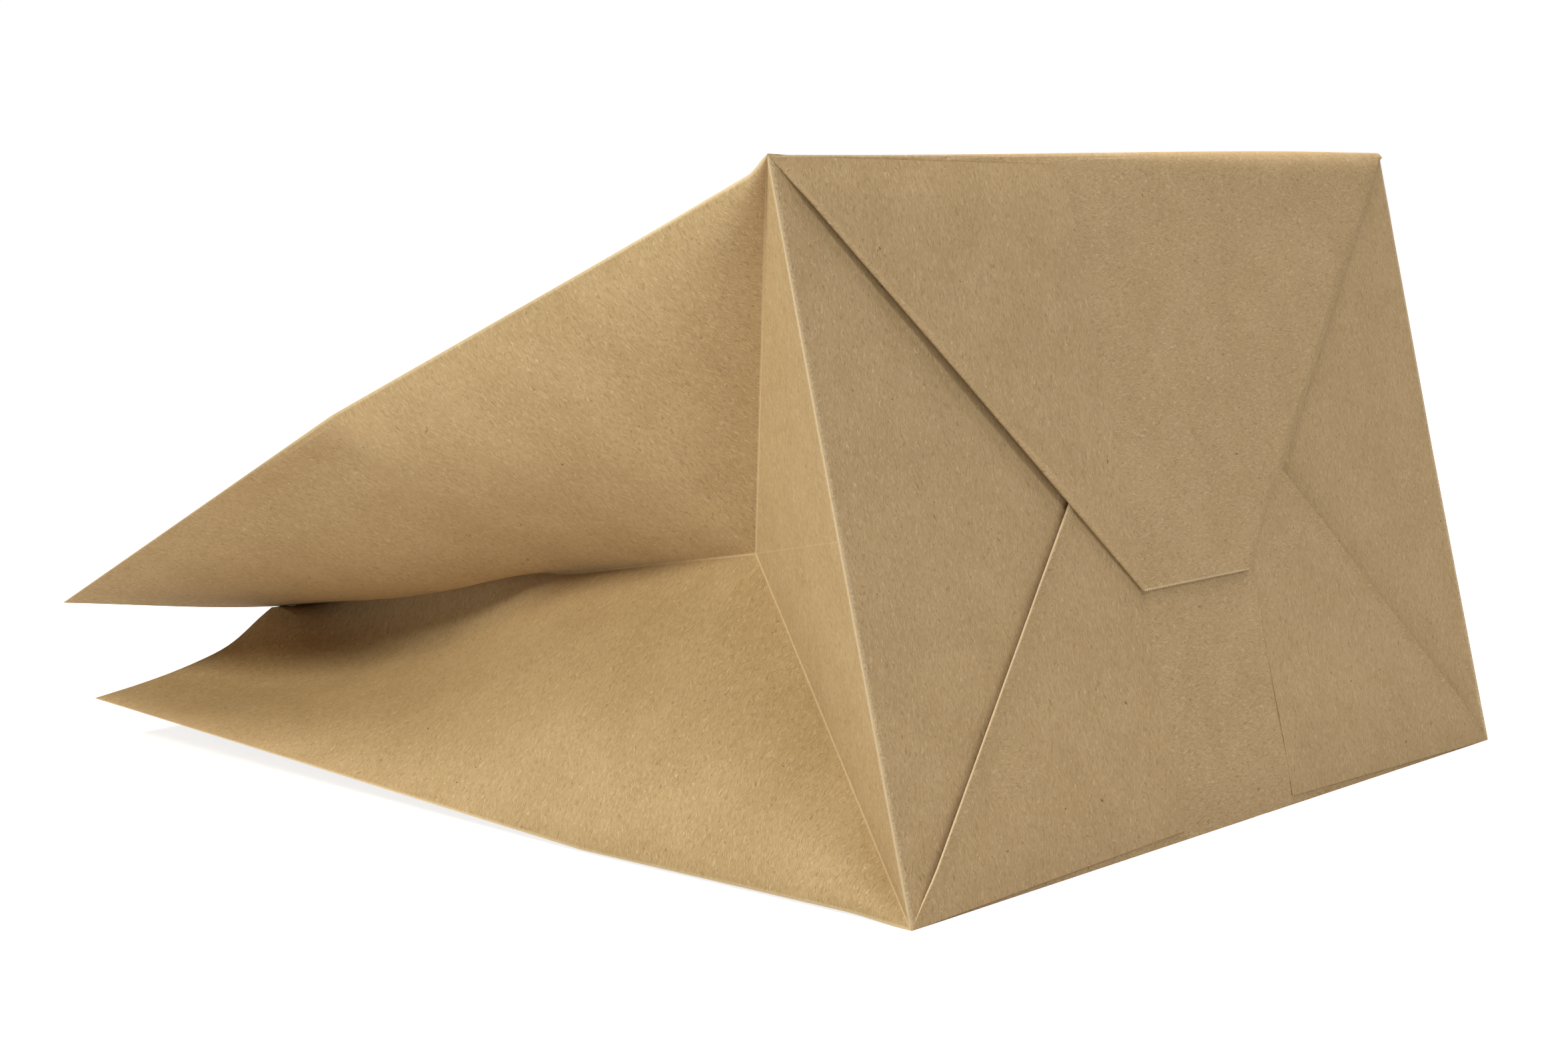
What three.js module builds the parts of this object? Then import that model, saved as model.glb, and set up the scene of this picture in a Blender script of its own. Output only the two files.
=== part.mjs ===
// A block-bottomed paper bag, folded and glued from one sheet of kraft paper. It lies on its back panel,
// with its base to the front and its mouth, nearly closed, at the rear. Millimetres, +Z up.
// +X runs along the bag's width, +Y from the base to the mouth. The origin is on the floor, under the
// middle of the bag's bounding box.
//
// The sheet is described by two lengths on the flat paper: how far along the tube a point lies from the
// base edge (distance, negative on the base flaps) and where it lies around the tube (its column).
// Each folded layer gives such a point its place in space, narrow strips join the layers at their
// folds, and the surface is then given the thickness of the paper.
import * as THREE from "three";

// Sheet sizes
const panelWidth = 316; // front and back panels
const gussetWidth = 200; // side panels, creased down their middle
const bagLength = 340; // base edge to mouth
const flapOverlap = 56; // how far the two base flaps lie over each other
const seamOverlap = 15; // long glued seam, down the middle of the back panel
const seamRamp = 3; // paper rises over the seam's lower layer within this width
const paper = 0.15; // thickness of the sheet
const layerGap = 0.15; // air between folded layers
const cornerHole = 1.5; // small hole where the folds meet at each corner of the base

// The shape that the sheet is held in
const baseLean = degrees(14.5); // base tilts back from upright
const floorRun = 116; // back panel's side edges lie on the floor this far
const liftAngle = degrees(3.1); // and then rise towards the mouth
const frontSlope = degrees(24.2); // front panel's fall away from the base
const frontBend = 186; // distance from the base at which its fall steepens
const mouthSlope = degrees(28); // front panel's fall near the mouth
const frontCrown = 9; // arch of the front panel at the middle of the mouth
const apexAngle = degrees(53.8); // base triangle of a gusset, from the plane of the base
const apexRise = 3.2; // triangle's apex above the middle of the base edge
const mouthInset = 96; // depth of the gusset's crease at the mouth
const mouthCreaseShare = 0.68; // crease's height between the back and front edges there
const creaseBow = 5; // inward bow of the gusset's crease at half its length
const mouthBulge = 1.5; // bulge of each half of a gusset at the mouth, where the halves close up
const mouthWave = 3; // wave of the back half there, towards the front half beside the crease

// Mesh density
const apexSteps = 5; // steps across half a gusset, and along the tube to the gusset's apex
const upperSteps = 10; // steps from there to the mouth
const flapSteps = 8; // steps along a base flap
const leastSquareness = 0.5; // sharpest fold that the thickness is carried round in full

// Sizes that follow
const halfWidth = panelWidth / 2;
const halfGusset = gussetWidth / 2;
const flapLength = (gussetWidth + flapOverlap) / 2;
const layerPitch = paper + layerGap;
const rampRun = gussetWidth - flapLength; // front flap rises over the back flap within this run

function degrees(angle) {
  return THREE.MathUtils.degToRad(angle);
}

// Equal steps from 0 to length, with one more at the corner hole.
function stepsTo(length, count) {
  const steps = Array.from({ length: count + 1 }, (_, i) => (length * i) / count);
  return [0, cornerHole, ...steps.slice(1)];
}

// A point of the base's own frame: across, up the base from its lower edge, and into the bag.
function basePoint(across, up, inward) {
  return new THREE.Vector3(
    across,
    up * Math.sin(baseLean) + inward * Math.cos(baseLean),
    up * Math.cos(baseLean) - inward * Math.sin(baseLean),
  );
}

function bentLine(start, distance, bendAt, firstSlope, secondSlope) {
  const first = Math.min(distance, bendAt);
  const second = Math.max(distance - bendAt, 0);
  return new THREE.Vector3(
    start.x,
    start.y + first * Math.cos(firstSlope) + second * Math.cos(secondSlope),
    start.z + first * Math.sin(firstSlope) + second * Math.sin(secondSlope),
  );
}

// Edges and creases of the tube. side is -1 on the left and 1 on the right.
function frontEdge(side, distance) {
  const corner = basePoint(side * halfWidth, gussetWidth, 0);
  return bentLine(corner, distance, frontBend, -frontSlope, -mouthSlope);
}

function backEdge(side, distance) {
  const corner = basePoint(side * halfWidth, 0, 0);
  return bentLine(corner, distance, floorRun, 0, liftAngle);
}

function gussetApex(side) {
  return basePoint(
    side * (halfWidth - halfGusset * Math.cos(apexAngle)),
    halfGusset + apexRise,
    halfGusset * Math.sin(apexAngle),
  );
}

// The crease keeps its paper length from the apex to the mouth.
function creaseEnd(side) {
  const apex = gussetApex(side);
  const front = frontEdge(side, bagLength);
  const back = backEdge(side, bagLength);
  const end = new THREE.Vector3(side * (halfWidth - mouthInset), 0, 0);
  end.z = THREE.MathUtils.lerp(back.z, front.z, mouthCreaseShare);
  const sideways = Math.hypot(end.x - apex.x, end.z - apex.z);
  const creaseLength = Math.max(bagLength - halfGusset, sideways);
  end.y = apex.y + Math.sqrt(creaseLength ** 2 - sideways ** 2);
  return end;
}

function creasePoint(side, distance) {
  const share = (distance - halfGusset) / (bagLength - halfGusset);
  const point = gussetApex(side).lerp(creaseEnd(side), share);
  point.x -= side * creaseBow * Math.sin(Math.PI * share);
  return point;
}

// One half of a gusset: across runs from its outer edge to the crease, edge is frontEdge or backEdge.
// Where the crease lies nearer the edge than the paper is wide, the paper bulges out by that slack, and
// the bulge flattens towards the mouth.
function gussetPoint(side, edge, across, distance) {
  const corner = edge(side, 0);
  const apex = gussetApex(side);
  if (distance < across) {
    const middle = basePoint(side * halfWidth, halfGusset, 0);
    const baseEnd = corner.clone().lerp(middle, across / halfGusset);
    const creaseOnTriangle = corner.clone().lerp(apex, across / halfGusset);
    return baseEnd.lerp(creaseOnTriangle, distance / across);
  }
  const span = Math.min(distance, halfGusset);
  const outer = edge(side, distance);
  if (span === 0) return outer;
  const inner = distance < halfGusset
    ? corner.clone().lerp(apex, distance / halfGusset)
    : creasePoint(side, distance);
  const chord = outer.distanceTo(inner);
  const slack = Math.max(span - chord, 0);
  const towardsMouth = (Math.max(distance, halfGusset) - halfGusset) / (bagLength - halfGusset);
  const bulge = THREE.MathUtils.lerp(Math.sqrt(0.375 * chord * slack), mouthBulge, towardsMouth ** 2);
  const wave = edge === backEdge ? mouthWave * towardsMouth ** 2 : 0;
  const along = edge(side, distance + 1).sub(outer);
  const outward = inner.clone().sub(outer).cross(along).normalize();
  if (outward.x * side < 0) outward.negate();
  const share = across / span;
  const out = bulge * Math.sin(Math.PI * share) - wave * Math.sin(2 * Math.PI * share);
  return outer.clone().lerp(inner, share).addScaledVector(outward, out);
}

function frontPoint(across, distance) {
  const point = frontEdge(1, distance);
  const share = distance / bagLength;
  const arch = frontCrown * share * share * (1 - Math.abs(across / halfWidth) ** 2.5);
  point.x = across;
  point.y += arch * Math.sin(mouthSlope);
  point.z += arch * Math.cos(mouthSlope);
  return point;
}

// lift raises the paper over the layer below it, at the seam.
function backPoint(across, distance, lift) {
  const edge = backEdge(1, distance);
  const share = Math.abs(across / halfWidth) ** 3;
  return new THREE.Vector3(across, THREE.MathUtils.lerp(distance, edge.y, share), edge.z * share + lift);
}

// Places in space of the sheet's points, by the folded layer that they belong to. run is the distance
// from the base edge on a base flap, and u the distance from the panel's nearer side edge.
function tubePoint(column, distance) {
  if (column.panel === "front") return frontPoint(column.across, distance);
  if (column.panel === "back") return backPoint(column.across, distance, column.lift);
  return gussetPoint(column.side, column.edge, column.across, distance);
}

// A flap's face and, one layer further in, the corners that are folded under it along its mitres.
// The front flap lies a further two layers out where it covers the back flap.
function flapPlace(column, across, run, layers) {
  const inner = Math.max(run, column.lift);
  if (column.panel === "back") return basePoint(across, inner, column.lift - layerPitch * layers);
  const rise = 2 * Math.min(run / rampRun, 1);
  return basePoint(across, gussetWidth - inner, -layerPitch * (layers + rise));
}

function flapPoint(column, run) {
  return flapPlace(column, column.across, run, 2);
}

// Folding under along the 45 degree mitre swaps the two distances.
function tuckedPoint(column, run) {
  const across = column.side * (halfWidth - run);
  return flapPlace(column, across, Math.max(column.u, layerPitch), 1);
}

// The gusset's end lies flat against the inside of the base.
function gussetEndPoint(column, run) {
  const fromEdge = Math.max(column.across, layerPitch);
  const up = column.edge === backEdge ? fromEdge : gussetWidth - fromEdge;
  return basePoint(column.side * (halfWidth - run), up, 0);
}

const places = {
  tube: tubePoint,
  flap: (column, distance) => flapPoint(column, -distance),
  tucked: (column, distance) => tuckedPoint(column, -distance),
  gussetEnd: (column, distance) => gussetEndPoint(column, -distance),
};

// Columns around the tube, from the seam by the left, the front and the right back to the seam.
function panelColumn(panel, side, u, lift = 0) {
  return { panel, side, u, lift, across: side * (halfWidth - u) };
}

function gussetColumn(side, edge, across) {
  return { panel: "gusset", side, edge, across };
}

function columnsAround() {
  const inwards = stepsTo(flapLength, flapSteps);
  const outwards = inwards.toReversed();
  const half = stepsTo(halfGusset, apexSteps);
  const seamEdge = halfWidth - seamOverlap / 2;
  const gusset = (side, from, to) => [
    ...half.map((across) => gussetColumn(side, from, across)),
    ...half.toReversed().slice(1).map((across) => gussetColumn(side, to, across)),
  ];
  return [
    [
      panelColumn("back", 1, seamEdge),
      ...outwards.map((u) => panelColumn("back", -1, u)),
    ],
    gusset(-1, backEdge, frontEdge),
    [
      ...inwards.map((u) => panelColumn("front", -1, u)),
      panelColumn("front", 1, halfWidth),
      ...outwards.map((u) => panelColumn("front", 1, u)),
    ],
    gusset(1, frontEdge, backEdge),
    [
      ...inwards.map((u) => panelColumn("back", 1, u)),
      panelColumn("back", 1, seamEdge - 2 * seamRamp),
      panelColumn("back", 1, seamEdge - seamRamp, layerPitch),
      panelColumn("back", -1, seamEdge, layerPitch),
    ],
  ];
}

// A surface of named points and facets. Facets turn anticlockwise when seen from outside the bag.
class Surface {
  constructor() {
    this.points = [];
    this.facets = [];
    this.indices = new Map();
  }

  point(layer, column, distance) {
    const place = places[layer](column, distance);
    const name = `${layer} ${place.toArray().map((v) => v.toFixed(4))}`;
    if (!this.indices.has(name)) {
      this.indices.set(name, this.points.length);
      this.points.push(place);
    }
    return this.indices.get(name);
  }

  facet(a, b, c) {
    this.facets.push([a, b, c]);
  }

  directedEdges() {
    return new Set(this.facets.flatMap(([a, b, c]) => [`${a},${b}`, `${b},${c}`, `${c},${a}`]));
  }

  // Joins two layers along a fold, given as a path of [column, distance] pairs.
  strip(firstLayer, secondLayer, path) {
    const edges = this.directedEdges();
    const ends = path.map(([first, distance, second = first]) => [
      this.point(firstLayer, first, distance),
      this.point(secondLayer, second, distance),
    ]);
    for (let i = 0; i + 1 < ends.length; i += 1) {
      const onward = edges.has(`${ends[i][0]},${ends[i + 1][0]}`);
      const [p, q] = onward ? [ends[i], ends[i + 1]] : [ends[i + 1], ends[i]];
      this.facet(q[0], p[0], p[1]);
      this.facet(q[0], p[1], q[1]);
    }
  }
}

// The layer that a facet of the sheet belongs to, from the middle of that facet.
function layerOf(panel, u, distance) {
  if (distance > 0) return "tube";
  if (panel === "gusset") return "gussetEnd";
  return u > -distance ? "flap" : "tucked";
}

function foldedSheet() {
  const surface = new Surface();
  const parts = columnsAround();
  const runs = stepsTo(flapLength, flapSteps);
  const toApex = stepsTo(halfGusset, apexSteps);
  const beyondApex = Array.from(
    { length: upperSteps },
    (_, i) => THREE.MathUtils.lerp(halfGusset, bagLength, (i + 1) / upperSteps),
  );
  const distances = [...runs.slice(1).toReversed().map((run) => -run), ...toApex, ...beyondApex];

  const fromSide = (column) => (column.panel === "gusset" ? column.across : column.u);
  const addCell = (first, second, low, high) => {
    const u = [fromSide(first), fromSide(second)];
    const nearCorner = Math.max(...u) <= cornerHole && -low <= cornerHole;
    if (high <= 0 && nearCorner) return;
    // Creases at 45 degrees run through the cells whose distances match: from the base edge's corners
    // up to a gusset's apex, and down the mitres of the flaps.
    const rises = u[1] > u[0];
    const creaseOnwards = high <= 0 ? !rises : rises;
    const corners = [[first, low], [second, low], [second, high], [first, high]];
    const triples = creaseOnwards ? [[0, 1, 2], [0, 2, 3]] : [[0, 1, 3], [1, 2, 3]];
    for (const triple of triples) {
      const chosen = triple.map((i) => corners[i]);
      const meanU = chosen.reduce((sum, [column]) => sum + fromSide(column), 0) / 3;
      const meanDistance = chosen.reduce((sum, [, distance]) => sum + distance, 0) / 3;
      const layer = layerOf(first.panel, meanU, meanDistance);
      // The gusset's end shares the base edge with the tube; a flap is joined to it by a strip.
      const layerAt = (distance) => (layer === "gussetEnd" && distance === 0 ? "tube" : layer);
      surface.facet(...chosen.map(([column, distance]) => surface.point(layerAt(distance), column, distance)));
    }
  };
  for (const columns of parts) {
    for (let j = 0; j + 1 < columns.length; j += 1) {
      for (let i = 0; i + 1 < distances.length; i += 1) {
        addCell(columns[j], columns[j + 1], distances[i], distances[i + 1]);
      }
    }
  }

  const outsideHole = runs.filter((run) => run >= cornerHole);
  for (const columns of parts.filter(([column]) => column.panel !== "gusset")) {
    surface.strip("tube", "flap", columns.filter(({ u }) => u >= cornerHole).map((column) => [column, 0]));
    for (const end of [columns, columns.toReversed()].filter(([column]) => column.u === 0)) {
      const { panel, side } = end[0];
      const mitre = outsideHole.map((run) => [end.find(({ u }) => u === run), -run]);
      surface.strip("flap", "tucked", mitre);
      const edge = panel === "front" ? frontEdge : backEdge;
      const gussetEdge = gussetColumn(side, edge, 0);
      surface.strip("tucked", "gussetEnd", outsideHole.map((run) => [end[0], -run, gussetEdge]));
    }
  }
  return surface;
}

// Gives the surface the paper's thickness, half to each side, and closes it along its cut edges.
function thicken({ points, facets }) {
  const around = points.map(() => []);
  for (const facet of facets) {
    const [a, b, c] = facet.map((i) => points[i]);
    const normal = b.clone().sub(a).cross(c.clone().sub(a)).normalize();
    facet.forEach((corner) => around[corner].push(normal));
  }
  const offsets = around.map((normals) => {
    const mean = normals.reduce((sum, normal) => sum.add(normal), new THREE.Vector3()).normalize();
    const squareness = Math.min(...normals.map((normal) => normal.dot(mean)));
    return mean.multiplyScalar(paper / 2 / Math.max(squareness, leastSquareness));
  });
  const outer = points.map((point, i) => point.clone().add(offsets[i]));
  const inner = points.map((point, i) => point.clone().sub(offsets[i]));
  const count = points.length;
  const directed = new Set(facets.flatMap(([a, b, c]) => [`${a},${b}`, `${b},${c}`, `${c},${a}`]));
  const triangles = facets.flatMap(([a, b, c]) => [a, b, c, a + count, c + count, b + count]);
  for (const [a, b, c] of facets) {
    for (const [p, q] of [[a, b], [b, c], [c, a]]) {
      if (!directed.has(`${q},${p}`)) triangles.push(q, p, p + count, q, p + count, q + count);
    }
  }
  const coordinates = [...outer, ...inner].flatMap((point) => point.toArray());
  const geometry = new THREE.BufferGeometry();
  geometry.setAttribute("position", new THREE.Float32BufferAttribute(coordinates, 3));
  geometry.setIndex(triangles);
  geometry.computeVertexNormals();
  return geometry;
}

const kraft = new THREE.MeshStandardMaterial({ color: 0xb8976a, roughness: 0.9, metalness: 0 });
const paperBag = new THREE.Mesh(thicken(foldedSheet()), kraft);
paperBag.name = "paper_bag";

const extent = new THREE.Box3().setFromObject(paperBag);
paperBag.position.set(0, -(extent.min.y + extent.max.y) / 2, -extent.min.z);

const bag = new THREE.Group();
bag.add(paperBag);

export default bag;
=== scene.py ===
# Paper carrier bag: one folded sheet of kraft paper, lying on its back panel with the mouth nearly shut.
import math

import bmesh
import bpy
from mathutils import Matrix, Vector, noise


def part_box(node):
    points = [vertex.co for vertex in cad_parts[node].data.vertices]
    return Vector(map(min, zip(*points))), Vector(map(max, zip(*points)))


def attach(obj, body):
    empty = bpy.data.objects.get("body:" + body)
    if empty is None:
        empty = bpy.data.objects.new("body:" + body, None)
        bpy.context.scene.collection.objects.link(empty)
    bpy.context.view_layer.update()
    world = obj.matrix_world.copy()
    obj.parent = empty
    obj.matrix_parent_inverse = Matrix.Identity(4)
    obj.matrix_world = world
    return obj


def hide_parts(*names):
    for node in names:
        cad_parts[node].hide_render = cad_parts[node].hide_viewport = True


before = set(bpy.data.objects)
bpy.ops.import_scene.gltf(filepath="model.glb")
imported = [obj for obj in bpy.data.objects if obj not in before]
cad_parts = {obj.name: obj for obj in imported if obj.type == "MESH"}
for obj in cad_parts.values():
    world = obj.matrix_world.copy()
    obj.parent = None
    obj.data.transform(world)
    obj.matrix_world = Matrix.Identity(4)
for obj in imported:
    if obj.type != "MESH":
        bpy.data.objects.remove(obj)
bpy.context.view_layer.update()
print("frame loaded, nodes:", len(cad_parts))

# The bag's shape, in millimetres and degrees. Distances along the bag start at the base.
bag = {
    "panelWidth": 316, "gussetWidth": 200, "length": 340, "flapOverlap": 56,
    "paper": 0.16,
    "floorRun": 116, "liftAngle": 3.1,  # the back panel's side edges, flat and then rising
    "edgeLift": (1.1, 0.7), "liftsWithin": 22,  # they stand off the floor, and more by the mouth
    "frontSlope": 24.2, "frontBend": 186, "mouthSlope": 28,  # the front panel's fall to the mouth
    "frontCrown": 9,  # its arch at the mouth
    "edgeSag": (2.5, 1.2), "sagsWithin": 7,  # its side edges sag behind the base, and less by the mouth
    "seamOverlap": 15, "seamStep": 0.35, "seamRamp": 3,
    "sharpAngle": 12,  # folds sharper than this are drawn as creases
}

# The folded base. Its layers lie a little apart, as they spring open where they aren't pasted.
base = {
    "lean": 14.5,  # back from upright
    "layerStep": 0.42, "flapSettles": 14,  # a flap's face is at its full height this far from its hinge
    "mitreLift": 0.55, "foldReach": 5,  # their left folds stand off more, and settle within this
    "rightLift": {True: -0.9, False: 0.6},  # the front flap's right fold turns down, the back flap's up
    "rightReach": 5,
    "endBow": 0.3, "dipFull": 12,  # the gusset ends lie this much deeper, from this far in
    "endDip": 1.1, "dipReach": 13,  # and the right one dips more along the back flap's fold
    "foldSteps": 5, "tuckSteps": 9, "tuckStart": 0.35,
    "toothPitch": 1.4, "toothDepth": 0.55,  # the front flap's cut end
    "hingeRound": (0.7, 8.0),  # rounding of the top edge, left and right
    "hingeRise": (0.5, 4.6),  # how far the top edge stands up there
    "riseFades": {"panel": 70, "flap": 16},  # and how far from it that fades
    "topSpread": 4.2, "spreadFrom": 82, "spreadFades": 60,  # the base widens to its top right corner
    "earRise": 0.8, "earReach": 4.0,  # the top left corner's small ear
}

# Unevenness of handled paper: its height, the size of its waves, and how far from a fold it is full.
cockles = {
    "gusset": (1.0, 46, 40), "triangle": (0.5, 34, 30), "front": (1.0, 70, 30),
    "flap": (0.3, 38, 30), "end": (0.35, 30, 12),
}

meshSteps = {
    "rowStep": 3.1,  # along the bag
    "creaseStep": 0.7,  # beside a crease
    "panelStep": 7.5, "backStep": 8, "endStep": 5,
    "fromHinge": [0, 0.7, 1.4, 2.8, 4.2, 6, 8],  # over the rounded top edge
}

halfWidth = bag["panelWidth"] / 2
halfGusset = bag["gussetWidth"] / 2
flapLength = (bag["gussetWidth"] + bag["flapOverlap"]) / 2
lean = math.radians(base["lean"])


def mixed(low, high, share):
    return low + (high - low) * share


def smoothStep(low, high, value):
    share = min(max((value - low) / (high - low), 0), 1)
    return share * share * (3 - 2 * share)


# Rises from 0 to 1 over the first span, and falls back to 0 over the second.
def riseAndFall(rise, fall, value):
    return smoothStep(*rise, value) * (1 - smoothStep(*fall, value))


def sideName(side):
    return "left" if side < 0 else "right"


# A place on the base's plane, which leans back. inward is the depth behind it.
def basePoint(across, up, inward):
    widening = smoothStep(base["spreadFrom"], bag["gussetWidth"], up)
    spread = base["topSpread"] * max(across / halfWidth, 0) * widening
    return Vector((
        across + spread,
        up * math.sin(lean) + inward * math.cos(lean),
        up * math.cos(lean) - inward * math.sin(lean),
    ))


def bentLine(start, distance, bendAt, firstSlope, secondSlope):
    first, second = min(distance, bendAt), max(distance - bendAt, 0)
    return start + Vector((
        0,
        first * math.cos(firstSlope) + second * math.cos(secondSlope),
        first * math.sin(firstSlope) + second * math.sin(secondSlope),
    ))


def hingeValue(pair, across):
    return mixed(*base[pair], smoothStep(-halfWidth * 0.9, halfWidth * 0.9, across))


def hingeCorner(across):
    corner = basePoint(across, bag["gussetWidth"], 0)
    ear = base["earRise"] * (1 - smoothStep(0, base["earReach"], across + halfWidth))
    corner.z += hingeValue("hingeRise", across) + ear
    return corner


def panelLine(across, distance):
    slopes = [-math.radians(bag[name]) for name in ("frontSlope", "mouthSlope")]
    point = bentLine(basePoint(across, bag["gussetWidth"], 0), distance, bag["frontBend"], *slopes)
    point.x = mixed(point.x, across, smoothStep(0, base["spreadFades"], distance))
    point.z += hingeValue("hingeRise", across) * (1 - smoothStep(0, base["riseFades"]["panel"], distance))
    return point


# How far out of the base's plane a flap's face lies. run is the distance from the flap's hinge.
def flapOut(isFront, across, run):
    layers = 2 + 2 * smoothStep(0, bag["gussetWidth"] - flapLength, run) if isFront else 2
    fromLeftFold = max(across - (run - halfWidth), 0)
    fromRightFold = max(halfWidth - run - across, 0)
    lift = base["mitreLift"] * (1 - smoothStep(0, base["foldReach"], fromLeftFold))
    lift += base["rightLift"][isFront] * (1 - smoothStep(0, base["rightReach"], fromRightFold))
    return (layers * base["layerStep"] + lift) * smoothStep(0, base["flapSettles"], run)


def flapLine(isFront, across, run):
    up = bag["gussetWidth"] - run if isFront else run
    point = basePoint(across, up, -flapOut(isFront, across, run))
    if isFront:
        point.z += hingeValue("hingeRise", across) * (1 - smoothStep(0, base["riseFades"]["flap"], run))
    return point


# The top edge of the base is a rounded fold. distance is negative on the flap.
def overHinge(across, distance):
    reach = hingeValue("hingeRound", across)
    if distance >= reach:
        return panelLine(across, distance)
    if distance <= -reach:
        return flapLine(True, across, -distance)
    share = (reach - distance) / (2 * reach)
    corner = hingeCorner(across)
    fromPanel = panelLine(across, reach).lerp(corner, share)
    toFlap = corner.lerp(flapLine(True, across, reach), share)
    return fromPanel.lerp(toFlap, share)


# Edges of the tube. side is -1 on the left and 1 on the right.
def edgeSag(distance):
    deepest, byMouth = bag["edgeSag"]
    return smoothStep(0, bag["sagsWithin"], distance) * mixed(deepest, byMouth, distance / bag["length"])


def frontEdge(side, distance):
    point = overHinge(side * halfWidth, distance)
    point.z -= edgeSag(distance)
    return point


def backEdge(side, distance):
    corner = basePoint(side * halfWidth, 0, 0)
    point = bentLine(corner, distance, bag["floorRun"], 0, math.radians(bag["liftAngle"]))
    byBase, more = bag["edgeLift"]
    point.z += byBase * smoothStep(0, bag["liftsWithin"], distance)
    point.z += more * smoothStep(bag["floorRun"], bag["length"], distance)
    return point


# The gussets. A form "along" the bag rises over its first span and falls over its second, in millimetres
# from the base. "across" is a share of a half's width: 0 at its outer edge and 1 at the crease.
gusset = {
    "apexAngle": 53.8, "apexRise": 3.2,  # the tip of the triangle at the base
    "creaseBow": 5,  # the long crease bows inwards
    "mouthInset": 96, "mouthShare": 0.68,  # where it ends at the mouth
    "creaseRise": 7, "risesAlong": (188, 260),  # it is drawn up behind the upper half's rim,
    "easing": 0.6, "easesAlong": (290, bag["length"]),  # and this share less at the mouth
    "upperEases": 0.86, "lowerEases": 0.75,  # both halves come to it from here across
    "slackBulge": 0.375, "mouthBulge": 1.5,  # the halves bulge with what slack they have
    "upperSkew": (0.7, 1.3), "skewsAlong": (175, 260),  # the upper bulge moves towards the crease
    "rimHang": 2.5,  # its rim hangs over the crease
    "hangAcross": ((0.45, 0.9), (0.92, 1)), "hangAlong": ((175, 240), (270, bag["length"])),
    "foldDent": 6,  # a soft fold crosses it, from where the front panel bends
    "dentAcross": ((0, 0.15), (0.3, 0.95)), "dentPast": ((-4, 15), (15, 100)),
    "lowerSkew": 0.75, "lowerFlattens": 0.9,  # the lower bulge goes flat
    "edgeTurns": (105, 195), "creaseTurns": (185, 270),  # along here by its outer edge, and by the crease
    "deepDish": 7, "deepSkew": 2.6,  # and becomes a dish by the crease
    "farDish": 6, "farSkew": 0.9, "farAlong": ((215, 290), (305, bag["length"])),  # and a wider one
    "mouthDish": 2.2, "mouthDishAcross": 0.72, "mouthDishAlong": (285, bag["length"]),
    "closesFrom": 313, "closesAcross": (0.445, 0.785),  # at the mouth it closes up against the upper half
    "closingPower": 3.3, "closedGap": 0.19,
}


def gussetApex(side):
    angle = math.radians(gusset["apexAngle"])
    return basePoint(side * (halfWidth - halfGusset * math.cos(angle)),
                     halfGusset + gusset["apexRise"], halfGusset * math.sin(angle))


def creaseEnd(side):
    apex = gussetApex(side)
    front, back = frontEdge(side, bag["length"]), backEdge(side, bag["length"])
    end = Vector((side * (halfWidth - gusset["mouthInset"]), 0, mixed(back.z, front.z, gusset["mouthShare"])))
    sideways = math.hypot(end.x - apex.x, end.z - apex.z)
    end.y = apex.y + math.sqrt((bag["length"] - halfGusset) ** 2 - sideways ** 2)
    return end


creaseEnds = {side: creaseEnd(side) for side in (-1, 1)}


def creaseRise(distance):
    easing = gusset["easing"] * smoothStep(*gusset["easesAlong"], distance)
    return gusset["creaseRise"] * smoothStep(*gusset["risesAlong"], distance) * (1 - easing)


def creasePoint(side, distance):
    share = (distance - halfGusset) / (bag["length"] - halfGusset)
    point = gussetApex(side).lerp(creaseEnds[side], share)
    point.x -= side * gusset["creaseBow"] * math.sin(math.pi * share)
    point.z += creaseRise(distance)
    return point


def upperBulge(share, distance):
    skew = mixed(*gusset["upperSkew"], smoothStep(*gusset["skewsAlong"], distance))
    return math.sin(math.pi * share ** skew)


def upperShape(share, distance):
    hang = riseAndFall(*gusset["hangAcross"], share) * riseAndFall(*gusset["hangAlong"], distance)
    dent = riseAndFall(*gusset["dentAcross"], share)
    dent *= riseAndFall(*gusset["dentPast"], distance - bag["frontBend"])
    return gusset["rimHang"] * hang - gusset["foldDent"] * dent


# How far the lower half has turned from a bulge into a dish.
def lowerTurn(share, distance):
    start, end = (mixed(*pair, share) for pair in zip(gusset["edgeTurns"], gusset["creaseTurns"]))
    return smoothStep(start, end, distance)


def lowerDish(share, distance, turned):
    atMouth = smoothStep(*gusset["mouthDishAlong"], distance)
    mouth = gusset["mouthDish"] * math.sin(math.pi * min(share / gusset["mouthDishAcross"], 1)) * atMouth
    deep = gusset["deepDish"] * math.sin(math.pi * share ** gusset["deepSkew"]) * turned * (1 - atMouth)
    far = gusset["farDish"] * math.sin(math.pi * share ** gusset["farSkew"])
    return mouth + deep + far * riseAndFall(*gusset["farAlong"], distance)


def lowerClosing(share, distance):
    start, closed = gusset["closesAcross"]
    closing = min(max(share - start, 0) / (closed - start), 1) ** gusset["closingPower"]
    return closing * smoothStep(gusset["closesFrom"], bag["length"], distance)


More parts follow.
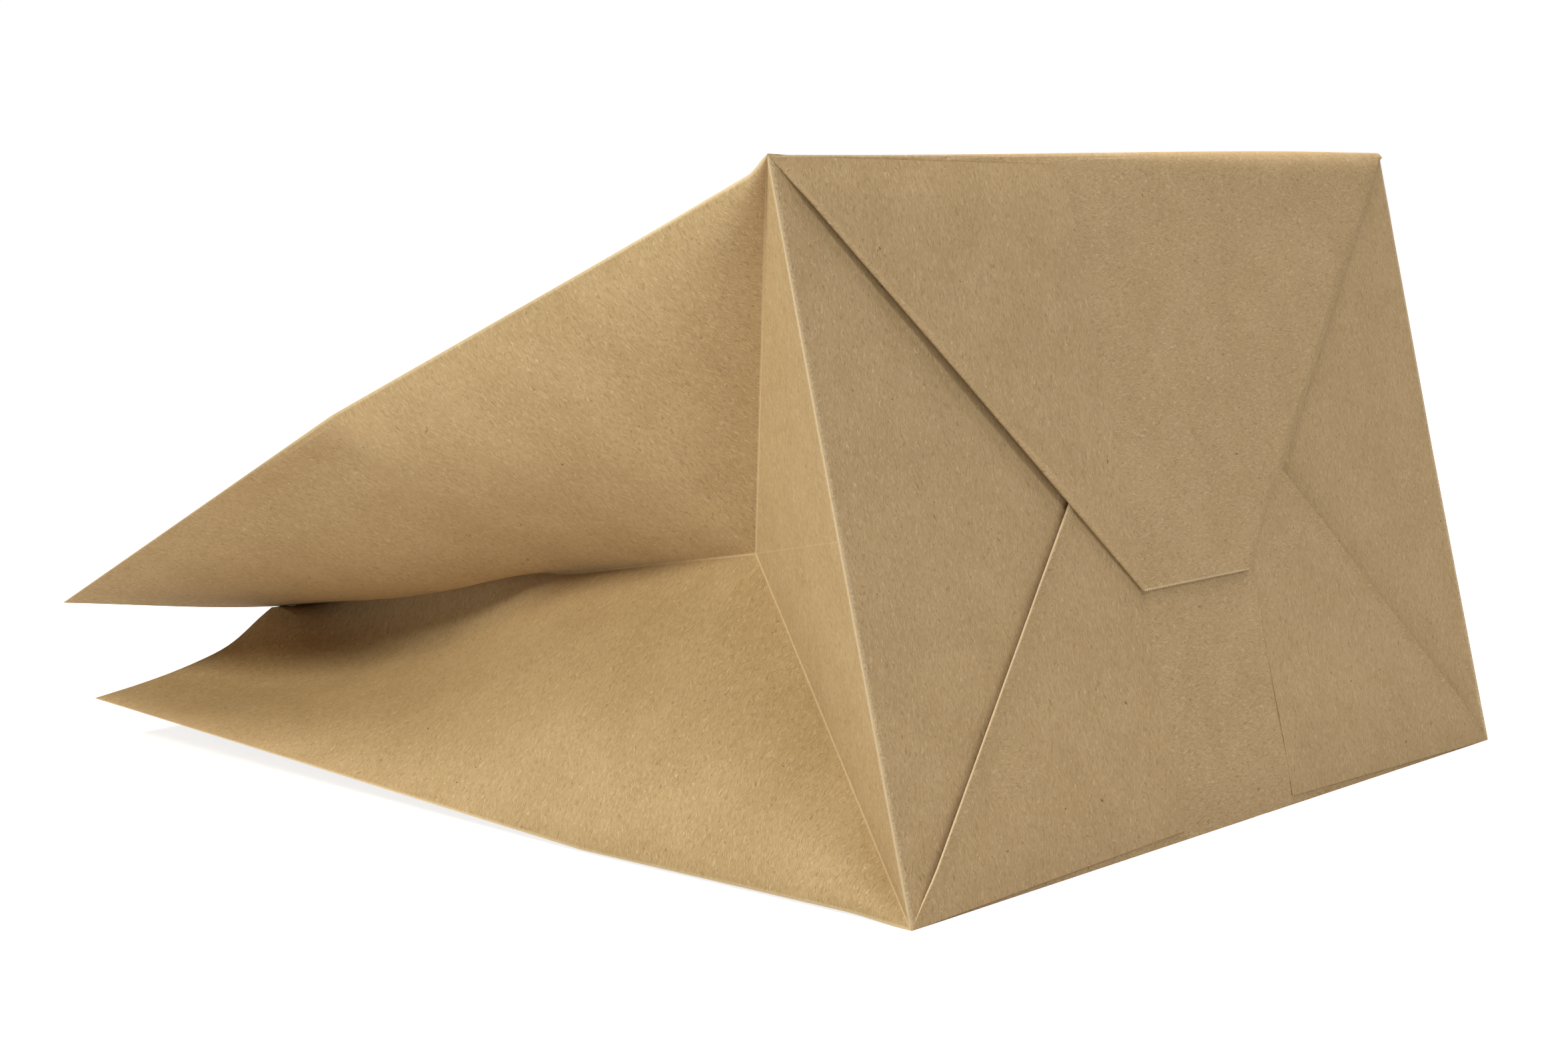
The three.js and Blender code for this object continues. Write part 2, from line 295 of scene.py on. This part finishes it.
def gussetHalf(side, edge, share, distance):
    corner, apex = edge(side, 0), gussetApex(side)
    outer = edge(side, distance)
    span = min(distance, halfGusset)
    if span == 0:
        return outer
    onTriangle = distance < halfGusset
    inner = corner.lerp(apex, distance / halfGusset) if onTriangle else creasePoint(side, distance)
    chord = (inner - outer).length
    slack = max(span - chord, 0)
    towardsMouth = (max(distance, halfGusset) - halfGusset) / (bag["length"] - halfGusset)
    bulge = mixed(math.sqrt(gusset["slackBulge"] * chord * slack), gusset["mouthBulge"], towardsMouth ** 2)
    outward = (inner - outer).cross(edge(side, distance + 1) - outer).normalized()
    if outward.x * side < 0:
        outward = -outward
    point = outer.lerp(inner, share)
    # Where the crease is drawn up, the upper half swells out over it, and the lower half stays down up to it.
    rise = share * creaseRise(distance)
    if edge is frontEdge:
        swell = bulge * upperBulge(share, distance) + upperShape(share, distance)
        return point + outward * (swell + rise * (1 - smoothStep(gusset["upperEases"], 1, share)))
    turned = lowerTurn(share, distance)
    bulge *= (1 - gusset["lowerFlattens"] * turned) * math.sin(math.pi * share ** gusset["lowerSkew"])
    point.z -= rise * (1 - smoothStep(gusset["lowerEases"], 1, share))
    point += outward * (bulge - lowerDish(share, distance, turned))
    above = gussetHalf(side, frontEdge, share, distance)
    above.z -= gusset["closedGap"] * min((1 - share) * 20, 1)
    return point.lerp(above, lowerClosing(share, distance))


# The part of a gusset's end that stands open beside the base, a triangle folded along its middle.
def baseTriangle(side, edge, share, across):
    corner = edge(side, 0)
    middle = basePoint(side * halfWidth, halfGusset, 0)
    baseEnd = corner.lerp(middle, across / halfGusset)
    creaseOn = corner.lerp(gussetApex(side), across / halfGusset)
    return baseEnd.lerp(creaseOn, share)


def frontPanel(across, distance):
    share = distance / bag["length"]
    fromMiddle = abs(across / halfWidth)
    arch = bag["frontCrown"] * share * share * (1 - fromMiddle ** 2.5)
    slope = math.radians(bag["mouthSlope"])
    point = overHinge(across, distance)
    point.y += arch * math.sin(slope)
    point.z += arch * math.cos(slope) - edgeSag(distance) * fromMiddle ** 6
    return point


def backPanel(across, distance, lift=0):
    edge = backEdge(1, distance)
    share = abs(across / halfWidth) ** 3
    return Vector((across, mixed(distance, edge.y, share), edge.z * share + lift))


print("shape settled")


# Mesh work. A sheet is a grid bent into shape: place gives a point, its place on the flat paper and how far
# it lies from the nearest worn edge and from the nearest crease.
def addSheet(bm, layers, columns, rows, place):
    grid = bmesh.ops.create_grid(bm, x_segments=len(columns) - 1, y_segments=len(rows) - 1, size=0.5)
    flat = {}
    for vert in grid["verts"]:
        i = round((vert.co.x + 0.5) * (len(columns) - 1))
        j = round((vert.co.y + 0.5) * (len(rows) - 1))
        vert.co, flat[vert], vert[layers["edge"]], vert[layers["crease"]] = place(columns[i], rows[j])
    for face in {face for vert in grid["verts"] for face in vert.link_faces}:
        for loop in face.loops:
            loop[layers["paper"]].uv = flat[loop.vert]


# Steps from low to high, with narrow ones beside the ends that are creases.
def steps(low, high, size, creaseLow=True, creaseHigh=True):
    beside = meshSteps["creaseStep"]
    inner = [low] + ([low + beside] if creaseLow else [])
    last = high - beside if creaseHigh else high
    count = max(round((last - inner[-1]) / size), 1)
    inner += [mixed(inner[-1], last, k / count) for k in range(1, count + 1)]
    return inner + ([high] if creaseHigh else [])


toApex = steps(0, halfGusset, meshSteps["rowStep"])
alongBag = toApex + steps(halfGusset, bag["length"], meshSteps["rowStep"])[1:]
halfColumns = [0, 0.008, 0.025] + [k / 32 for k in range(2, 31)] + [0.975, 0.992, 1]
triangleColumns = [*halfColumns[:3], *halfColumns[4:-4:2], *halfColumns[-3:]]


def cockle(point, part, fromFold):
    height, size, reach = cockles[part]
    fine = noise.noise(point / (size * 0.37) + Vector((9, 2, 5)))
    return height * (noise.noise(point / size) + 0.35 * fine) * min(fromFold / reach, 1)


def paperColumn(part, across):
    offsets = {"back-": 0, "left": 200, "front": 500, "right": 800, "back+": 1100}
    return offsets[part] + across


farAway = 9  # millimetres, from any worn edge or crease


def makeGussetHalf(bm, layers, side, edge):
    flatStart = paperColumn(sideName(side), 0 if edge is backEdge else bag["gussetWidth"])
    flatTurn = 1 if edge is backEdge else -1

    def halfPlace(share, distance):
        point = gussetHalf(side, edge, share, distance)
        span = min(distance, halfGusset)
        point.x -= side * cockle(point, "gusset", distance) * math.sin(math.pi * share)
        toCrease = min((1 - share) * span, share * span)
        return point, (flatStart + flatTurn * share * span, distance), farAway, toCrease

    def trianglePlace(share, across):
        point = baseTriangle(side, edge, share, across)
        point += Vector((-side, 1, 0)) * cockle(point, "triangle", across) * math.sin(math.pi * share)
        toCrease = min((1 - share) * across, 0.6 + halfGusset - across)
        return point, (flatStart + flatTurn * across, share * across), share * across, toCrease

    addSheet(bm, layers, halfColumns, alongBag, halfPlace)
    addSheet(bm, layers, triangleColumns, toApex, trianglePlace)


def makeFrontPanel(bm, layers):
    def frontPlace(across, distance):
        point = frontPanel(across, distance)
        fromSide = halfWidth - abs(across)
        point.z += cockle(point, "front", fromSide) * min(max(distance - 12, 0) / 40, 1)
        return point, (paperColumn("front", across), distance), farAway, fromSide

    columns = steps(-halfWidth, halfWidth, meshSteps["panelStep"])
    addSheet(bm, layers, columns, meshSteps["fromHinge"] + alongBag[4:], frontPlace)


# The back panel is two sheets. The second starts on top of the first, at the long seam.
def makeBackPanel(bm, layers):
    seamEdge = bag["seamOverlap"] / 2

    def backPlace(lift, part):
        def place(across, distance):
            rise = lift * smoothStep(seamEdge + bag["seamRamp"], seamEdge, across)
            point = backPanel(across, distance, rise)
            return point, (paperColumn(part, across), distance), farAway, halfWidth - abs(across)
        return place

    under = steps(-halfWidth, seamEdge, meshSteps["backStep"], True, False)
    over = steps(-seamEdge, halfWidth, meshSteps["backStep"], False, True)
    addSheet(bm, layers, under, alongBag, backPlace(0, "back-"))
    addSheet(bm, layers, over, alongBag, backPlace(bag["seamStep"], "back+"))


# A flap's columns run from one tucked corner round its fold, over the face, and round to the other.
def makeFlap(bm, layers, isFront):
    teeth = round((bag["panelWidth"] - 2 * flapLength) / base["toothPitch"])
    fine = 2 * teeth if isFront else 48
    beside = [0.004, 0.012, 0.024]
    across = [0, *beside, *[k / fine for k in range(1, fine) if 0.03 < k / fine < 0.97],
              *[1 - share for share in reversed(beside)], 1]
    turns, tucks = base["foldSteps"], base["tuckSteps"]
    columns = [("tuck", -1, k / tucks) for k in range(tucks)]
    columns += [("turn", -1, k / turns) for k in range(turns)]
    columns += [("face", 0, share) for share in across]
    columns += [("turn", 1, 1 - (k + 1) / turns) for k in range(turns)]
    columns += [("tuck", 1, 1 - (k + 1) / tucks) for k in range(tucks)]
    runs = meshSteps["fromHinge"] + steps(10, flapLength, meshSteps["rowStep"], False, True)
    part = "front" if isFront else "back-"
    hinge = bag["gussetWidth"] if isFront else 0
    inwards = -1 if isFront else 1

    def facePlace(share, run):
        x = mixed(-halfWidth + run, halfWidth - run, share)
        # The front flap's cut end is toothed: every other point of its last row is drawn back.
        tooth = base["toothDepth"] * (round(share * fine) % 2) if run == flapLength and isFront else 0
        point = overHinge(x, -run) if isFront else flapLine(False, x, run)
        point += basePoint(0, -inwards * tooth, -cockle(point, "flap", run))
        worn = flapLength - run if isFront else x + halfWidth - run + 0.2
        return point, (paperColumn(part, x), -run), farAway, worn

    def flapPlace(column, run):
        kind, side, share = column
        if kind == "face":
            return facePlace(share, run)
        mitreX = side * (halfWidth - run)
        faceOut = flapOut(isFront, mitreX, run)
        radius = min(base["layerStep"] * 0.5, faceOut * 0.3)
        corner = overHinge(mitreX, -run) if isFront else flapLine(False, mitreX, run)
        faceFoot = corner - basePoint(0, 0, -faceOut)
        if kind == "turn":
            angle = math.pi * (1 - share)
            reach = radius * math.sin(angle) * math.sqrt(0.5)
            out = faceOut - radius + radius * math.cos(angle)
            point = faceFoot + basePoint(side * reach, -inwards * reach, -out)
            worn = farAway if isFront or side > 0 else 0.2
            return point, (paperColumn(part, mitreX + side * reach), -run), farAway, worn
        out = faceOut - 2 * radius
        inRun = mixed(0.02, 1, share) * run
        tucked = mixed(base["tuckStart"], 1, smoothStep(0, base["flapSettles"], inRun))
        underFace = faceFoot + basePoint(0, 0, -out)
        point = basePoint(mitreX, hinge + inwards * inRun, -out * mixed(tucked, 1, share))
        return (point.lerp(underFace, share ** 4), (paperColumn(part, side * (halfWidth - inRun)), -run),
                farAway, farAway)

    addSheet(bm, layers, columns, runs, flapPlace)


def makeGussetEnd(bm, layers, side):
    height = bag["gussetWidth"]

    def endPlace(up, run):
        fromEnd = min(up, height - up)
        # Its base edge is that of the tube, whose top corner stands a little above the base's plane.
        edgePoint = baseTriangle(side, backEdge if up <= halfGusset else frontEdge, 0, fromEnd)
        inset = 0.6 * min(run / 3, 1)
        point = basePoint(side * (halfWidth - run), min(max(up, inset), height - inset), 0)
        point = point.lerp(edgePoint, 1 - smoothStep(0, 4, run))
        fromFold = min(fromEnd, run * 2)
        inwards = cockle(point, "end", fromFold) + base["endBow"] * min(fromFold / base["dipFull"], 1)
        if side > 0:
            fromFlap = max(up - run, 0) / base["dipReach"]
            inwards += base["endDip"] * math.exp(-fromFlap * fromFlap) * min(run / base["dipFull"], 1)
        point += basePoint(0, 0, 1) * inwards
        return point, (paperColumn(sideName(side), up), -run), run, farAway

    ups = toApex + [height - up for up in reversed(toApex[:-1])]
    addSheet(bm, layers, ups, steps(0, flapLength, meshSteps["endStep"], True, False), endPlace)


# From the bag's own place to the frame's, in millimetres.
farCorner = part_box("paper_bag")[1]
toFrame = Vector((0, farCorner[1] * 1000 - frontPanel(0, bag["length"]).y, bag["paper"] / 2))


def makeBag():
    bm = bmesh.new()
    layers = {
        "paper": bm.loops.layers.uv.new("paper"),
        "edge": bm.verts.layers.float.new("edge"),
        "crease": bm.verts.layers.float.new("crease"),
    }
    for side in (-1, 1):
        for edge in (backEdge, frontEdge):
            makeGussetHalf(bm, layers, side, edge)
    makeFrontPanel(bm, layers)
    makeBackPanel(bm, layers)
    for isFront in (True, False):
        makeFlap(bm, layers, isFront)
    for side in (-1, 1):
        makeGussetEnd(bm, layers, side)
    bmesh.ops.remove_doubles(bm, verts=bm.verts, dist=0.02)
    bmesh.ops.dissolve_degenerate(bm, edges=bm.edges, dist=0.01)
    bmesh.ops.recalc_face_normals(bm, faces=bm.faces)
    for face in bm.faces:
        face.smooth = True
    sharpest = math.radians(bag["sharpAngle"])
    for fold in bm.edges:
        if len(fold.link_faces) != 2 or fold.calc_face_angle(0) > sharpest:
            fold.smooth = False
    bmesh.ops.translate(bm, verts=bm.verts, vec=toFrame)
    bmesh.ops.scale(bm, verts=bm.verts, vec=Vector((0.001, 0.001, 0.001)))
    mesh = bpy.data.meshes.new("kraftSheet")
    bm.to_mesh(mesh)
    bm.free()
    sheet = bpy.data.objects.new("kraftSheet", mesh)
    bpy.context.scene.collection.objects.link(sheet)
    thickness = sheet.modifiers.new("paper", "SOLIDIFY")
    thickness.thickness = bag["paper"] / 1000
    thickness.offset = 0
    return sheet


sheet = makeBag()
print("bag folded:", len(sheet.data.polygons), "faces")


# Shader work: a Wire holds one socket, and sums on wires add their Math nodes.
class Wire:
    def __init__(self, tree, socket):
        self.tree = tree
        self.socket = socket

    def math(self, operation, *values):
        return node(self.tree, "ShaderNodeMath", {"operation": operation}, dict(enumerate(values)))[0]

    def __add__(self, other):
        return self.math("ADD", self, other)

    __radd__ = __add__

    def __sub__(self, other):
        return self.math("SUBTRACT", self, other)

    def __rsub__(self, other):
        return self.math("SUBTRACT", other, self)

    def __mul__(self, other):
        return self.math("MULTIPLY", self, other)

    __rmul__ = __mul__

    def larger(self, other):
        return self.math("MAXIMUM", self, other)

    def between(self, low, high):
        settings = {"interpolation_type": "SMOOTHSTEP"}
        span = {"Value": self, "From Min": low, "From Max": high}
        return node(self.tree, "ShaderNodeMapRange", settings, span)[0]


# Adds a node: its settings first, then the values or wires of its sockets. Gives its outputs as wires.
def node(tree, kind, settings, sockets):
    made = tree.nodes.new(kind)
    for name, value in settings.items():
        setattr(made, name, value)
    for name, value in sockets.items():
        if isinstance(value, Wire):
            tree.links.new(value.socket, made.inputs[name])
        else:
            made.inputs[name].default_value = value
    return [Wire(tree, output) for output in made.outputs if output.enabled]


def blended(tree, share, first, second):
    mix = tree.nodes.new("ShaderNodeMix")
    mix.data_type = "RGBA"
    for name, value in (("Factor_Float", share), ("A_Color", first), ("B_Color", second)):
        socket = next(s for s in mix.inputs if s.identifier == name)
        if isinstance(value, Wire):
            tree.links.new(value.socket, socket)
        else:
            socket.default_value = (*value, 1)
    return Wire(tree, next(s for s in mix.outputs if s.identifier == "Result_Color"))


kraft = {
    "pale": (0.530, 0.362, 0.184),
    "deep": (0.483, 0.325, 0.158),
    "fibre": (0.690, 0.520, 0.320),
    "darkFibre": (0.270, 0.165, 0.075),
    "speck": (0.130, 0.072, 0.032),
    "worn": (0.730, 0.560, 0.350),
    "grainShare": 0.08, "fibreShare": 0.32, "speckShare": 0.8,
    "edgeShare": 0.8, "creaseShare": 0.75,
    "roughness": 0.85, "gloss": 0.3,
    "bump": 0.5, "bumpHeight": 0.00007,
}


def kraftPaper():
    material = bpy.data.materials.new("kraftPaper")
    material.use_nodes = True
    tree = material.node_tree
    shader = tree.nodes["Principled BSDF"]
    paper = node(tree, "ShaderNodeUVMap", {"uv_map": "paper"}, {})[0]

    def noiseAt(place, scale, detail=1, roughness=0.5):
        return node(tree, "ShaderNodeTexNoise", {},
                    {"Vector": place, "Scale": scale, "Detail": detail, "Roughness": roughness})

    def distanceTo(name):
        return node(tree, "ShaderNodeAttribute", {"attribute_name": name}, {})[2]

    # Fibres curl, so their coordinates are pushed about by a noise.
    sway = {0: noiseAt(paper, 0.5)[1], "Scale": 2.6}
    push = node(tree, "ShaderNodeVectorMath", {"operation": "SCALE"}, sway)[0]
    curled = node(tree, "ShaderNodeVectorMath", {"operation": "ADD"}, {0: paper, 1: push})[0]

    def fibres(angle, length, width):
        turned = node(tree, "ShaderNodeMapping", {}, {
            "Vector": curled, "Location": (angle * 3.1, angle * 1.7, 0),
            "Rotation": (0, 0, math.radians(angle)), "Scale": (1 / length, 1 / width, 1)})[0]
        return noiseAt(turned, 1, 0)[0].between(0.58, 0.76)

    paleFibres = fibres(12, 2.2, 0.26) + fibres(74, 2.6, 0.26) + fibres(131, 2.0, 0.24)
    darkFibres = fibres(41, 2.0, 0.24) + fibres(103, 1.8, 0.22) + fibres(160, 1.6, 0.24)
    clouds = noiseAt(paper, 0.045, 3, 0.6)[0]
    grain = noiseAt(paper, 1.3, 2, 0.7)[0]

    # Shives: sparse dark chips of bark, a little longer than wide.
    stretched = node(tree, "ShaderNodeMapping", {}, {
        "Vector": curled, "Rotation": (0, 0, 0.6), "Scale": (1, 0.5, 1)})[0]

    def chips(scale, size, rarity):
        cells = node(tree, "ShaderNodeTexVoronoi", {}, {"Vector": stretched, "Scale": scale})
        chance = node(tree, "ShaderNodeSeparateColor", {}, {"Color": cells[1]})[0]
        return (1 - cells[0].between(size * 0.5, size)) * chance.between(rarity, rarity + 0.04)

    specks = chips(0.16, 0.06, 0.45) + chips(0.45, 0.09, 0.6) * 0.7

    # Handling roughens the folds at the base's sides and brightens the other creases a little.
    ragged = (grain - 0.5) * 4
    wornEdge = 1 - (distanceTo("edge") + ragged).between(0.6, 2.3)
    wornCrease = 1 - (distanceTo("crease") + ragged * 0.2).between(0.15, 0.9)
    worn = (wornEdge * kraft["edgeShare"]).larger(wornCrease * kraft["creaseShare"])

    colour = blended(tree, clouds.between(0.3, 0.7), kraft["deep"], kraft["pale"])
    colour = blended(tree, grain.between(0.2, 0.8) * kraft["grainShare"], colour, kraft["darkFibre"])
    colour = blended(tree, paleFibres * kraft["fibreShare"], colour, kraft["fibre"])
    colour = blended(tree, darkFibres * kraft["fibreShare"], colour, kraft["darkFibre"])
    colour = blended(tree, specks * kraft["speckShare"], colour, kraft["speck"])
    colour = blended(tree, worn, colour, kraft["worn"])
    tree.links.new(colour.socket, shader.inputs["Base Color"])

    height = noiseAt(paper, 1.1, 3, 0.7)[0]
    uneven = {"Height": height, "Strength": kraft["bump"], "Distance": kraft["bumpHeight"]}
    bump = node(tree, "ShaderNodeBump", {}, uneven)[0]
    tree.links.new(bump.socket, shader.inputs["Normal"])
    shader.inputs["Roughness"].default_value = kraft["roughness"]
    shader.inputs["Specular IOR Level"].default_value = kraft["gloss"]
    return material


sheet.data.materials.append(kraftPaper())
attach(sheet, "root")
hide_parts("paper_bag")
print("paper finished")

# The room: a pale floor and soft light.
room = {
    "floorSize": 12,
    "floorColour": (0.74, 0.74, 0.74), "floorRoughness": 0.9, "floorGloss": 0.1,
    "floorGlow": 0.82,  # as the camera sees it, beside the bag
    "farGlow": 0.3, "glowsAlong": (0.3, 1.2),  # and this much more over these distances, in metres
    "worldStrength": 0.02,
    "worldColour": (1.0, 0.99, 0.98),
    "aim": (0, 0, 0.08),
}

lamps = {
    "top": {"place": (0.1, 0.2, 2.4), "size": 1.4, "watts": 65, "colour": (1.0, 1.0, 1.0)},
    "front": {"place": (-0.35, -1.5, 2.0), "size": 0.6, "watts": 16, "colour": (1.0, 1.0, 0.99)},
    "left": {"place": (-1.5, 0.15, 1.2), "size": 0.5, "watts": 20, "colour": (0.98, 1.0, 0.86)},
}

camera = {
    "place": (-714.2, -427.8, 198.1),  # in the bag's own millimetres
    "heading": -49.72, "pitch": -7.66, "roll": 0.54,
    "focalPixels": 4281.25, "imageWidth": 2353,
}


def makeFloor():
    bm = bmesh.new()
    bmesh.ops.create_grid(bm, x_segments=1, y_segments=1, size=room["floorSize"] / 2)
    mesh = bpy.data.meshes.new("floor")
    bm.to_mesh(mesh)
    bm.free()
    floor = bpy.data.objects.new("floor", mesh)
    bpy.context.scene.collection.objects.link(floor)
    material = bpy.data.materials.new("paleFloor")
    material.use_nodes = True
    tree = material.node_tree
    shader = tree.nodes["Principled BSDF"]
    shader.inputs["Base Color"].default_value = (*room["floorColour"], 1)
    shader.inputs["Roughness"].default_value = room["floorRoughness"]
    shader.inputs["Specular IOR Level"].default_value = room["floorGloss"]
    # To the camera the floor is white, with the bag's shadow showing only beside it.
    seen = node(tree, "ShaderNodeLightPath", {}, {})[0]
    place = node(tree, "ShaderNodeTexCoord", {}, {})[3]
    away = node(tree, "ShaderNodeVectorMath", {"operation": "LENGTH"}, {0: place})[0]
    strength = seen * (room["floorGlow"] + away.between(*room["glowsAlong"]) * room["farGlow"])
    glow = node(tree, "ShaderNodeEmission", {}, {"Strength": strength})[0]
    lit = node(tree, "ShaderNodeAddShader", {}, {0: Wire(tree, shader.outputs["BSDF"]), 1: glow})[0]
    tree.links.new(lit.socket, tree.nodes["Material Output"].inputs["Surface"])
    floor.data.materials.append(material)


def makeWorld():
    world = bpy.data.worlds.new("studio")
    bpy.context.scene.world = world
    world.use_nodes = True
    tree = world.node_tree
    tree.nodes.clear()
    rays = node(tree, "ShaderNodeLightPath", {}, {})
    seen = rays[0].larger(rays[3])
    soft = {"Color": (*room["worldColour"], 1), "Strength": room["worldStrength"]}
    light = node(tree, "ShaderNodeBackground", {}, soft)[0]
    white = node(tree, "ShaderNodeBackground", {}, {"Color": (1, 1, 1, 1), "Strength": 1})[0]
    both = node(tree, "ShaderNodeMixShader", {}, {0: seen, 1: light, 2: white})[0]
    node(tree, "ShaderNodeOutputWorld", {}, {"Surface": both})


def makeLamp(name):
    lamp = bpy.data.lights.new(name, "AREA")
    lamp.shape = "SQUARE"
    lamp.size = lamps[name]["size"]
    lamp.energy = lamps[name]["watts"]
    lamp.color = lamps[name]["colour"]
    holder = bpy.data.objects.new(name, lamp)
    bpy.context.scene.collection.objects.link(holder)
    holder.location = lamps[name]["place"]
    holder.visible_camera = False
    towards = Vector(room["aim"]) - holder.location
    holder.rotation_euler = towards.to_track_quat("-Z", "Y").to_euler()


def makeCamera():
    lens = bpy.data.cameras.new("camera")
    lens.sensor_width = 36
    lens.lens = lens.sensor_width * camera["focalPixels"] / camera["imageWidth"]
    lens.clip_start = 0.01
    holder = bpy.data.objects.new("camera", lens)
    bpy.context.scene.collection.objects.link(holder)
    turn = Matrix.Rotation(math.radians(camera["heading"]), 3, "Z")
    turn = turn @ Matrix.Rotation(math.radians(90 + camera["pitch"]), 3, "X")
    turn = turn @ Matrix.Rotation(math.radians(camera["roll"]), 3, "Z")
    holder.matrix_world = Matrix.Translation((Vector(camera["place"]) + toFrame) / 1000) @ turn.to_4x4()
    bpy.context.scene.camera = holder


makeFloor()
makeWorld()
for lampName in lamps:
    makeLamp(lampName)
makeCamera()
bpy.context.scene.view_settings.view_transform = "Standard"
print("room ready")
